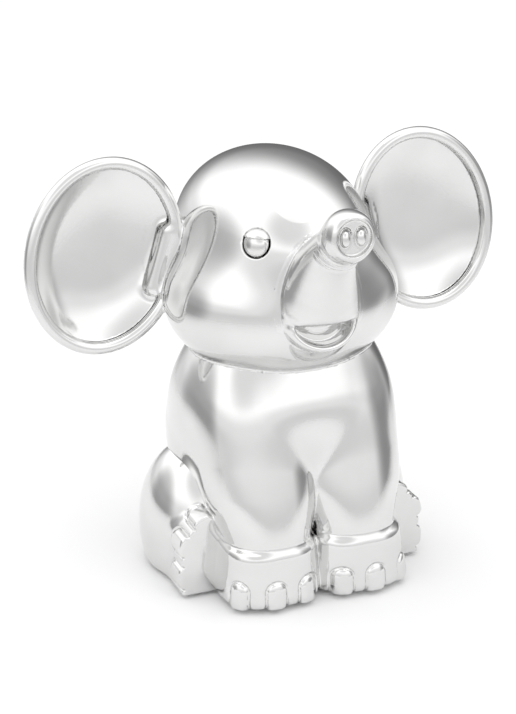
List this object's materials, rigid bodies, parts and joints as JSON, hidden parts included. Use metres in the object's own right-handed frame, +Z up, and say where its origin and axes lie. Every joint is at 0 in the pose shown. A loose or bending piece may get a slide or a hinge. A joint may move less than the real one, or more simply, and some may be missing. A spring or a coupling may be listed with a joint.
{
  "type": "figural elephant coin bank",
  "caption": "Seated elephant money box in polished silver-plated castings, with round ears, a raised trunk, a coin slot in the back and a pull-out plug in the base.",
  "frame": {"origin": "middle of the overall box, on the surface that the felt pads rest on", "axes": "+Z up, the face and trunk point along -Y, +X is the animal's left; the figure is mirror-symmetric in X"},
  "size_m": [0.1614, 0.1032, 0.1381],
  "materials": {
    "silver_plate": "mirror-polished silver plate on cast zinc",
    "steel_screw": "zinc-plated steel, machined",
    "black_plastic": "moulded soft plastic, satin",
    "felt": "black wool felt"
  },
  "bodies": {
    "bank": {"body_front": "silver_plate", "body_rear": "silver_plate", "base_plate": "silver_plate", "base_screw_1": "steel_screw", "base_screw_2": "steel_screw", "base_screw_3": "steel_screw", "base_screw_4": "steel_screw", "pad_front_right": "felt", "pad_rear_right": "felt", "pad_front_left": "felt", "pad_rear_left": "felt", "hind_leg_right": "silver_plate", "thigh_screw_right_1": "steel_screw", "thigh_screw_right_2": "steel_screw", "hind_leg_left": "silver_plate", "thigh_screw_left_1": "steel_screw", "thigh_screw_left_2": "steel_screw", "tail": "silver_plate", "tail_screw": "steel_screw", "head_front": "silver_plate", "head_rear": "silver_plate", "neck_screw_1": "steel_screw", "neck_screw_2": "steel_screw", "neck_screw_3": "steel_screw", "ear_right": "silver_plate", "ear_screw_right_1": "steel_screw", "ear_screw_right_2": "steel_screw", "ear_left": "silver_plate", "ear_screw_left_1": "steel_screw", "ear_screw_left_2": "steel_screw", "eye_right": "silver_plate", "eye_left": "silver_plate", "trunk": "silver_plate", "trunk_screw": "steel_screw"},
    "plug": {"base_plug": "black_plastic"}
  },
  "joints": [
    {"name": "plug_pull", "type": "slide", "parent": "bank", "child": "plug", "axis": [0, 0, -1], "range_m": [0, 0.03]}
  ]
}
